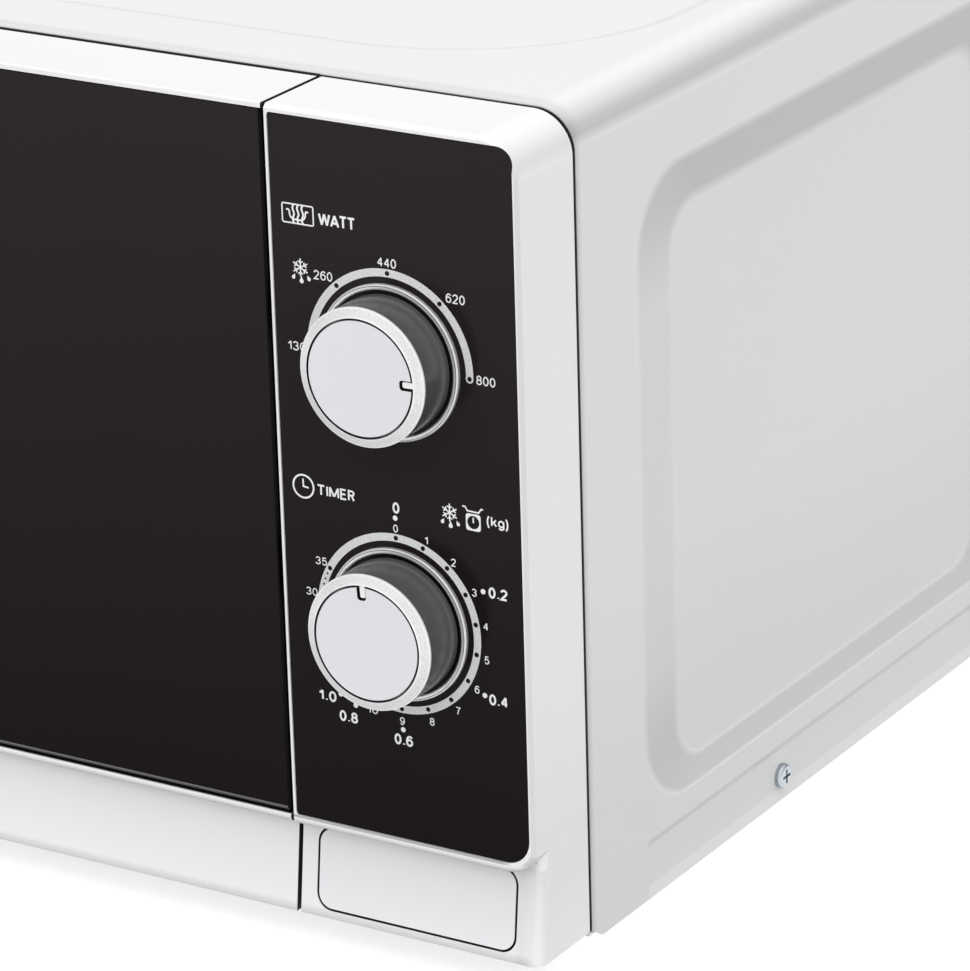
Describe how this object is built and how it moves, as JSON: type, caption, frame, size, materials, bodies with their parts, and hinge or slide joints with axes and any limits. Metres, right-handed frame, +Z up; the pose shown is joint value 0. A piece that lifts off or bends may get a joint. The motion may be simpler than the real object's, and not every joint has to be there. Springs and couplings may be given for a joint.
{
  "type": "microwave oven",
  "caption": "Counter-top microwave oven with a left-hinged door, two rotary dials, a push-button door release and a glass turntable in a steel cavity.",
  "frame": {"origin": "on the resting plane under the middle of the whole object", "axes": "+Z up, front with door and dials towards -Y, dials on the +X side"},
  "size_m": [0.4424, 0.3584, 0.2578],
  "materials": {
    "cover_paint": "satin white powder coat",
    "sheet_steel": "zinc plated",
    "foot_rubber": "matt",
    "cavity_paint": "pale grey enamel",
    "white_plastic": "satin white moulding",
    "black_panel": "glossy black",
    "bright_ring": "polished",
    "dark_plastic": "matt black",
    "latch_plastic": "natural white",
    "mica": "matt mica board",
    "alloy": "plain",
    "core_steel": "varnished laminations",
    "copper": "enamelled wire",
    "film": "clear film",
    "board": "circuit board",
    "screw_zinc": "bright zinc",
    "spring_steel": "drawn wire",
    "knob_body": "satin dark grey",
    "knob_rim": "satin silver",
    "knob_face": "pale satin",
    "tray_glass": "clear"
  },
  "bodies": {
    "cabinet": {"outer_cover": "cover_paint", "base_plate": "sheet_steel", "feet": "foot_rubber", "rear_panel": "sheet_steel", "front_frame": "cavity_paint", "cavity_floor": "cavity_paint", "cavity_ceiling": "cavity_paint", "cavity_left_wall": "cavity_paint", "cavity_right_wall": "cavity_paint", "cavity_back_wall": "cavity_paint", "control_fascia": "white_plastic", "panel_overlay": "black_panel", "dial_bezels": "bright_ring", "timer_unit": "dark_plastic", "latch_board": "latch_plastic", "interlock_switches": "dark_plastic", "door_hinges": "sheet_steel", "turntable_motor": "sheet_steel", "waveguide": "sheet_steel", "waveguide_cover": "mica", "magnetron": "alloy", "transformer_core": "core_steel", "transformer_windings": "copper", "capacitor": "alloy", "rectifier_diode": "dark_plastic", "fan_shroud": "dark_plastic", "fan_motor": "core_steel", "lamp_holder": "latch_plastic", "lamp_bulb": "film", "thermal_cutouts": "dark_plastic", "filter_board": "board", "cord_gland": "dark_plastic", "cover_screws": "screw_zinc", "button_spring": "spring_steel"},
    "door": {"door_frame": "white_plastic", "door_panel": "black_panel", "door_screen": "sheet_steel", "choke_cover": "dark_plastic", "window_film": "film", "hinge_pins": "spring_steel", "latch_spring": "spring_steel"},
    "latch": {"door_latch": "latch_plastic"},
    "power_dial": {"power_knob": "knob_body", "power_knob_trim": "knob_rim", "power_knob_cap": "knob_face", "power_shaft": "latch_plastic"},
    "timer_dial": {"timer_knob": "knob_body", "timer_knob_trim": "knob_rim", "timer_knob_cap": "knob_face", "timer_shaft": "latch_plastic"},
    "button": {"release_button": "white_plastic"},
    "lever": {"release_lever": "latch_plastic"},
    "turntable": {"turntable_coupler": "latch_plastic"},
    "tray": {"glass_tray": "tray_glass"},
    "ring": {"roller_ring": "latch_plastic"},
    "roller_a": {"roller_1": "latch_plastic"},
    "roller_b": {"roller_2": "latch_plastic"},
    "roller_c": {"roller_3": "latch_plastic"},
    "fan": {"fan_blade": "dark_plastic", "fan_shaft": "spring_steel"}
  },
  "joints": [
    {"name": "door_swing", "type": "hinge", "parent": "cabinet", "child": "door", "pos_m": [-0.212, -0.14235, 0.042], "axis": [0, 0, -1], "range_deg": [0, 100]},
    {"name": "latch_lift", "type": "slide", "parent": "door", "child": "latch", "axis": [0, 0, 1], "range_m": [0, 0.004], "stiffness_N_per_m": 300, "deforming": ["latch_spring"]},
    {"name": "power_turn", "type": "hinge", "parent": "cabinet", "child": "power_dial", "pos_m": [0.1772, -0.16255, 0.1875], "axis": [0, 1, 0], "range_deg": [-178.5, 0]},
    {"name": "timer_turn", "type": "hinge", "parent": "cabinet", "child": "timer_dial", "pos_m": [0.1772, -0.16255, 0.1098], "axis": [0, 1, 0], "range_deg": [0, 303]},
    {"name": "button_push", "type": "slide", "parent": "cabinet", "child": "button", "axis": [0, 1, 0], "range_m": [0, 0.004], "stiffness_N_per_m": 400, "deforming": ["button_spring"]},
    {"name": "lever_tilt", "type": "hinge", "parent": "cabinet", "child": "lever", "pos_m": [0.155, -0.12555, 0.04895], "axis": [1, 0, 0], "range_deg": [0, 11]},
    {"name": "turntable_spin", "type": "hinge", "parent": "cabinet", "child": "turntable", "pos_m": [-0.045, 0.01725, 0.033], "axis": [0, 0, 1], "continuous": true},
    {"name": "tray_lift", "type": "slide", "parent": "turntable", "child": "tray", "axis": [0, 0, 1], "range_m": [0, 0.025]},
    {"name": "ring_spin", "type": "hinge", "parent": "cabinet", "child": "ring", "pos_m": [-0.045, 0.01725, 0.0403], "axis": [0, 0, 1], "continuous": true},
    {"name": "fan_spin", "type": "hinge", "parent": "cabinet", "child": "fan", "pos_m": [0.1641, 0.16535, 0.1818], "axis": [0, 1, 0], "continuous": true},
    {"name": "roller_a_spin", "type": "hinge", "parent": "ring", "child": "roller_a", "pos_m": [0.043, 0.01725, 0.0403], "axis": [1, 0, 0], "continuous": true},
    {"name": "roller_b_spin", "type": "hinge", "parent": "ring", "child": "roller_b", "pos_m": [-0.089, 0.09346, 0.0403], "axis": [-0.5, 0.866, 0], "continuous": true},
    {"name": "roller_c_spin", "type": "hinge", "parent": "ring", "child": "roller_c", "pos_m": [-0.089, -0.05896, 0.0403], "axis": [-0.5, -0.866, 0], "continuous": true}
  ],
  "couplings": [
    {"joint": "lever_tilt", "follows": "button_push", "rad_per_m": 45.455},
    {"joint": "ring_spin", "follows": "turntable_spin", "ratio": 0.5},
    {"joint": "roller_a_spin", "follows": "turntable_spin", "ratio": -6.2857},
    {"joint": "roller_b_spin", "follows": "turntable_spin", "ratio": -6.2857},
    {"joint": "roller_c_spin", "follows": "turntable_spin", "ratio": -6.2857}
  ]
}
